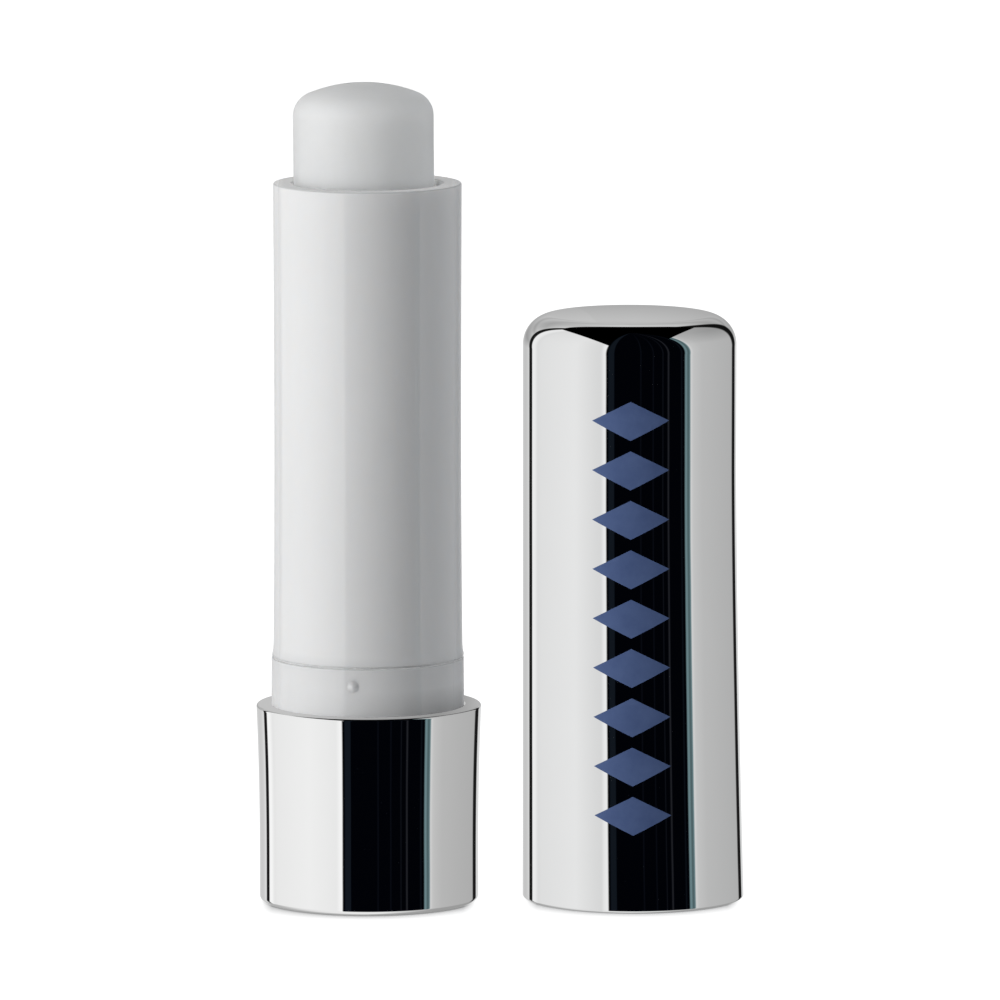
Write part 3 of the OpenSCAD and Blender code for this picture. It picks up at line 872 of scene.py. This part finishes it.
def make_world():
    world = bpy.data.worlds.new("studio")
    world.use_nodes = True
    tree = world.node_tree
    tree.nodes.clear()
    x, y, z = xyz(tree, node(tree, "ShaderNodeTexCoord").outputs["Generated"])[:3]
    kind = node(tree, "ShaderNodeLightPath").outputs
    around = mix(tree, level(tree, z, 0.1, 1), AMBIENT, AMBIENT_TOP)
    seen = mix(tree, kind["Is Glossy Ray"], around, studio(tree, x, y, z))
    seen = mix(tree, kind["Is Transmission Ray"], seen, (1, 1, 1))
    seen = mix(tree, kind["Is Camera Ray"], seen, (1, 1, 1))
    background = node(tree, "ShaderNodeBackground", {0: seen, 1: 1.0})
    node(tree, "ShaderNodeOutputWorld", {0: background.outputs[0]})
    # the levels depend on the kind of ray, so the world isn't sampled as a lamp
    world.cycles.sampling_method = "NONE"
    bpy.context.scene.world = world


def make_lamp(name, azimuth, elevation, power, colour=(1, 1, 1), passes=(), lights=()):
    """Soft square lamp that faces the object from a direction; azimuth 0 is the front and 90 the right.

    power is in watts. Its light passes through the pieces in passes. With lights, it lights only those.
    """
    lamp = bpy.data.lights.new(name, "AREA")
    lamp.shape = "SQUARE"
    lamp.size = LAMP_SIZE
    lamp.energy = power
    lamp.color = colour
    holder = bpy.data.objects.new(name, lamp)
    a, e = math.radians(azimuth), math.radians(elevation)
    away = Vector((math.sin(a) * math.cos(e), -math.cos(a) * math.cos(e), math.sin(e)))
    holder.location = LAMP_TARGET + away * LAMP_DISTANCE
    holder.rotation_mode = "QUATERNION"
    holder.rotation_quaternion = away.to_track_quat("Z", "Y")
    holder.visible_camera = holder.visible_glossy = False
    bpy.context.scene.collection.objects.link(holder)
    if passes:
        clear = bpy.data.collections.new(name + "_passes")
        for piece in passes:
            clear.objects.link(piece)
        for entry in clear.collection_objects:
            entry.light_linking.link_state = "EXCLUDE"
        holder.light_linking.blocker_collection = clear
    if lights:
        lit = bpy.data.collections.new(name + "_lights")
        for piece in lights:
            lit.objects.link(piece)
        holder.light_linking.receiver_collection = lit


def make_floor():
    """Pale floor. It glows to the camera up to white, with a soft contact shadow painted into that glow at the
    object's foot.
    """
    made, tree = material("floor_pale")
    kind = node(tree, "ShaderNodeLightPath").outputs
    speckle = mix(tree, noise_value(tree, 40, detail=3), (0.34, 0.34, 0.34), (0.36, 0.36, 0.36))
    matt = node(tree, "ShaderNodeBsdfDiffuse", {"Color": speckle}).outputs[0]
    # glow: a painted contact shadow in the crevice where something stands on the floor, and more glow far out,
    # where the lamps are weaker
    near = node(tree, "ShaderNodeAmbientOcclusion", {"Distance": CREVICE * MM}, samples=12).outputs["AO"]
    near = ramp(tree, near, CREVICE_GLOW)
    # the painted contact shadow ends beside the pieces, by the distance from their axes
    place = own_place(tree)
    x = xyz(tree, place)[0]
    offsets = [calc(tree, "SUBTRACT", x, axis.x * MM) for axis in (stick_axis, cap_axis)]
    nearest = calc(tree, "MINIMUM", *(calc(tree, "ABSOLUTE", offset) for offset in offsets))
    aside = level(tree, nearest, CREVICE_SIDE[0] * MM, CREVICE_SIDE[1] * MM)
    glow_with_painted_shadow = mix(tree, aside, near, (1, 1, 1))
    distance = node(tree, "ShaderNodeVectorMath", {0: place}, operation="LENGTH").outputs["Value"]
    far = level(tree, distance, FLOOR_FADE[0] * MM, FLOOR_FADE[1] * MM, FLOOR_GLOW, FLOOR_FAR)
    strength = calc(tree, "MULTIPLY", calc(tree, "MULTIPLY", kind["Is Camera Ray"], far), glow_with_painted_shadow)
    glow = node(tree, "ShaderNodeEmission", {"Color": (1, 1, 1, 1), "Strength": strength})
    both = node(tree, "ShaderNodeAddShader", {0: matt, 1: glow.outputs[0]})
    node(tree, "ShaderNodeOutputMaterial", {"Surface": both.outputs[0]})
    rows = 8
    steps = [FLOOR_HALF * MM * (2 * i / rows - 1) for i in range(rows + 1)]
    mesh = bpy.data.meshes.new("floor")
    mesh.from_pydata([(x, y, -FLOOR_DROP * MM) for y in steps for x in steps], [], grid_faces(rows))
    mesh.materials.append(made)
    floor = link("floor", mesh)
    floor.visible_glossy = False


def make_camera():
    camera = bpy.data.cameras.new("camera")
    camera.sensor_width = SENSOR_MM
    camera.lens = SENSOR_MM * CAMERA_FOCAL / 1000
    camera.clip_start, camera.clip_end = CAMERA_CLIP
    holder = bpy.data.objects.new("camera", camera)
    holder.location = CAMERA_PLACE
    holder.rotation_euler = (math.pi / 2 - CAMERA_PITCH, 0, 0)
    bpy.context.scene.collection.objects.link(holder)
    bpy.context.scene.camera = holder


# Build

def cover(piece, finish):
    """Gives a piece its material, and keeps it out of the mirrors, which show the studio only."""
    piece.data.materials.clear()
    piece.data.materials.append(finish)
    piece.visible_glossy = False


def dress(piece, finish, body, stands_for=()):
    """Gives a piece its material, the body it rides on and the CAD nodes that it stands for."""
    cover(piece, finish)
    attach(piece, body)
    if stands_for:
        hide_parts(*stands_for)


base_mirror = mirror_material(
    "base_mirror", BASE_METAL, base_axis.x, base_rim_r, BASE_PAINTED_SHADE, BASE_TOP_PAINTED_SHADE, BASE_TOP)
cap_mirror = mirror_material(
    "cap_mirror", CAP_METAL, cap_axis.x + cap_drift_x, cap_top_r, CAP_PAINTED_SHADE, CAP_TOP_PAINTED_SHADE, CAP_TOP)
barrel_white = plastic_material("barrel_white", (0.88, 0.882, 0.88), 0.035, 0.0000006)
collar_white = plastic_material("collar_white", (0.84, 0.842, 0.84), 0.08, 0.000001, foot_z=base_h)
inner_white = plastic_material("inner_white", (0.82, 0.84, 0.86), 0.42, 0.000003)
balm_wax = wax_material()

base = make_base()
dress(base, base_mirror, "base", ["base_shell"])
dress(make_collar(), collar_white, "base", ["twist_core"])
for number in range(bump_count):
    dress(make_bump(number), collar_white, "base")
barrel = make_barrel()
dress(barrel, barrel_white, "barrel", ["barrel"])
balm = make_balm()
dress(balm, balm_wax, "carriage", ["balm"])
cap = make_cap()
cap_print = make_print()
dress(cap, cap_mirror, "cap", ["cap"])
dress(cap_print, ink_material(), "cap")
# the lamp on the right reaches the stick past the cap, and so does the soft light all round
cap.visible_diffuse = cap_print.visible_diffuse = base.visible_diffuse = False
for name in ("drive_screw", "carrier"):
    cover(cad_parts[name], inner_white)

make_world()
make_lamp("key", -54, 16, 2.8)
make_lamp("side", -95, 10, 0.22)
make_lamp("fill", 98, 18, 1.3, (0.95, 0.975, 1.0), passes=(cap, cap_print))
# the lit backdrop, which brightens the mouth's ring and the top of the dome
make_lamp("back", 180, 25, 1.3, lights=(barrel, balm))
# light that spreads inside the wax, from the lit side to the other
make_lamp("wax", 20, 8, 0.6, lights=(balm,))
make_floor()
make_camera()
bpy.context.scene.view_settings.view_transform = "Standard"
